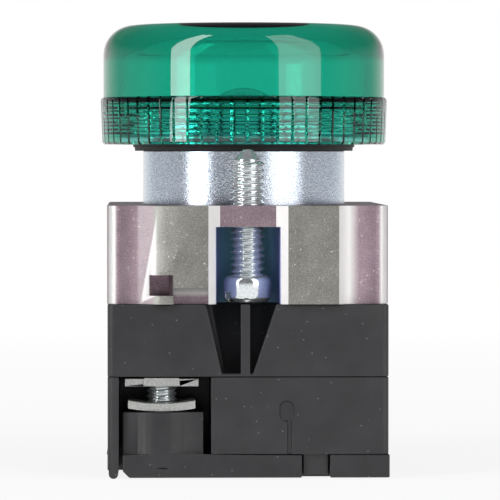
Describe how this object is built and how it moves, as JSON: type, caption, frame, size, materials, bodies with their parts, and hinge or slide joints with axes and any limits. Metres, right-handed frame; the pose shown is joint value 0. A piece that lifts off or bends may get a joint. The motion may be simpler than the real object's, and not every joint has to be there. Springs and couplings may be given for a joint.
{
  "type": "panel pilot light",
  "caption": "Panel pilot light: domed screw-on lens on a metal head, die-cast fixing collar with clamp screw, and a moulded lamp body with saddle clamp terminals.",
  "frame": {"origin": "on the barrel's axis in the plane of the panel's front face, where the gasket seats", "axes": "+Z along the barrel towards the lens, -Y towards the end with the clamp screw, +X to the right of a viewer at that end"},
  "size_m": [0.0316, 0.04, 0.0489],
  "materials": {
    "lens_green": "clear tinted polycarbonate, moulded, polished",
    "seal_rubber": "black nitrile",
    "plated_steel": "bright zinc plating, turned",
    "gasket_rubber": "black nitrile",
    "spring_steel": "spring wire",
    "zinc_casting": "die-cast zinc alloy, passivated",
    "screw_zinc": "bright zinc-plated steel",
    "housing_plastic": "black glass-filled polyamide, fine grain",
    "cover_plastic": "black glass-filled polyamide, fine grain",
    "terminal_zinc": "zinc-plated steel, stamped",
    "washer_zinc": "zinc-plated steel, stamped",
    "holder_plastic": "heat-resistant moulded insulator",
    "contact_brass": "nickel-plated brass",
    "cap_brass": "lamp cap, bright brass",
    "cap_glass": "black vitreous insulator",
    "solder": "soldered contact",
    "lamp_glass": "clear glass",
    "filament": "wire on a glass bead"
  },
  "bodies": {
    "base": {"fixing_collar": "zinc_casting", "retaining_ring": "spring_steel", "housing_upper": "housing_plastic", "housing_lower": "housing_plastic", "rear_cover": "cover_plastic", "terminal_plate_1": "terminal_zinc", "terminal_plate_2": "terminal_zinc", "lamp_holder": "holder_plastic", "bayonet_sleeve": "contact_brass", "contact_spring": "spring_steel"},
    "head": {"head_body": "plated_steel", "panel_gasket": "gasket_rubber"},
    "seal": {"lens_seal": "seal_rubber"},
    "lens": {"lens": "lens_green"},
    "clamp_screw": {"clamp_screw": "screw_zinc"},
    "washer_1": {"clamp_washer_1": "washer_zinc"},
    "screw_1": {"terminal_screw_1": "screw_zinc"},
    "washer_2": {"clamp_washer_2": "washer_zinc"},
    "screw_2": {"terminal_screw_2": "screw_zinc"},
    "plunger": {"contact_plunger": "contact_brass"},
    "lamp": {"lamp_cap": "cap_brass", "lamp_button": "cap_glass", "lamp_tip": "solder", "lamp_glass": "lamp_glass", "lamp_filament": "filament"}
  },
  "joints": [
    {"name": "head_release", "type": "slide", "parent": "base", "child": "head", "axis": [0, 0, 1], "range_m": [0, 0.02]},
    {"name": "lens_rise", "type": "slide", "parent": "head", "child": "seal", "axis": [0, 0, 1], "range_m": [0, 0.0049]},
    {"name": "lens_turn", "type": "hinge", "parent": "seal", "child": "lens", "pos_m": [0, 0, 0], "axis": [0, 0, 1], "range_deg": [0, 2340]},
    {"name": "clamp_screw_travel", "type": "slide", "parent": "base", "child": "clamp_screw", "axis": [0, 0, 1], "range_m": [-0.006, 0]},
    {"name": "washer_1_travel", "type": "slide", "parent": "base", "child": "washer_1", "axis": [0, 0, 1], "range_m": [0, 0.0014]},
    {"name": "screw_1_turn", "type": "hinge", "parent": "washer_1", "child": "screw_1", "pos_m": [-0.0092, -0.0152, -0.028], "axis": [0, 0, 1], "range_deg": [0, 841]},
    {"name": "washer_2_travel", "type": "slide", "parent": "base", "child": "washer_2", "axis": [0, 0, 1], "range_m": [0, 0.0014]},
    {"name": "screw_2_turn", "type": "hinge", "parent": "washer_2", "child": "screw_2", "pos_m": [0.0092, 0.0152, -0.028], "axis": [0, 0, 1], "range_deg": [0, 841]},
    {"name": "contact_press", "type": "slide", "parent": "base", "child": "plunger", "axis": [0, 0, 1], "range_m": [-0.001, 0], "stiffness_N_per_m": 400, "deforming": ["contact_spring"]},
    {"name": "lamp_turn", "type": "hinge", "parent": "plunger", "child": "lamp", "pos_m": [0, 0, 0], "axis": [0, 0, 1], "range_deg": [0, 40]}
  ],
  "couplings": [
    {"joint": "lens_rise", "follows": "lens_turn", "m_per_rad": 0.00011937},
    {"joint": "screw_1_turn", "follows": "washer_1_travel", "rad_per_m": 10472},
    {"joint": "screw_2_turn", "follows": "washer_2_travel", "rad_per_m": 10472}
  ]
}
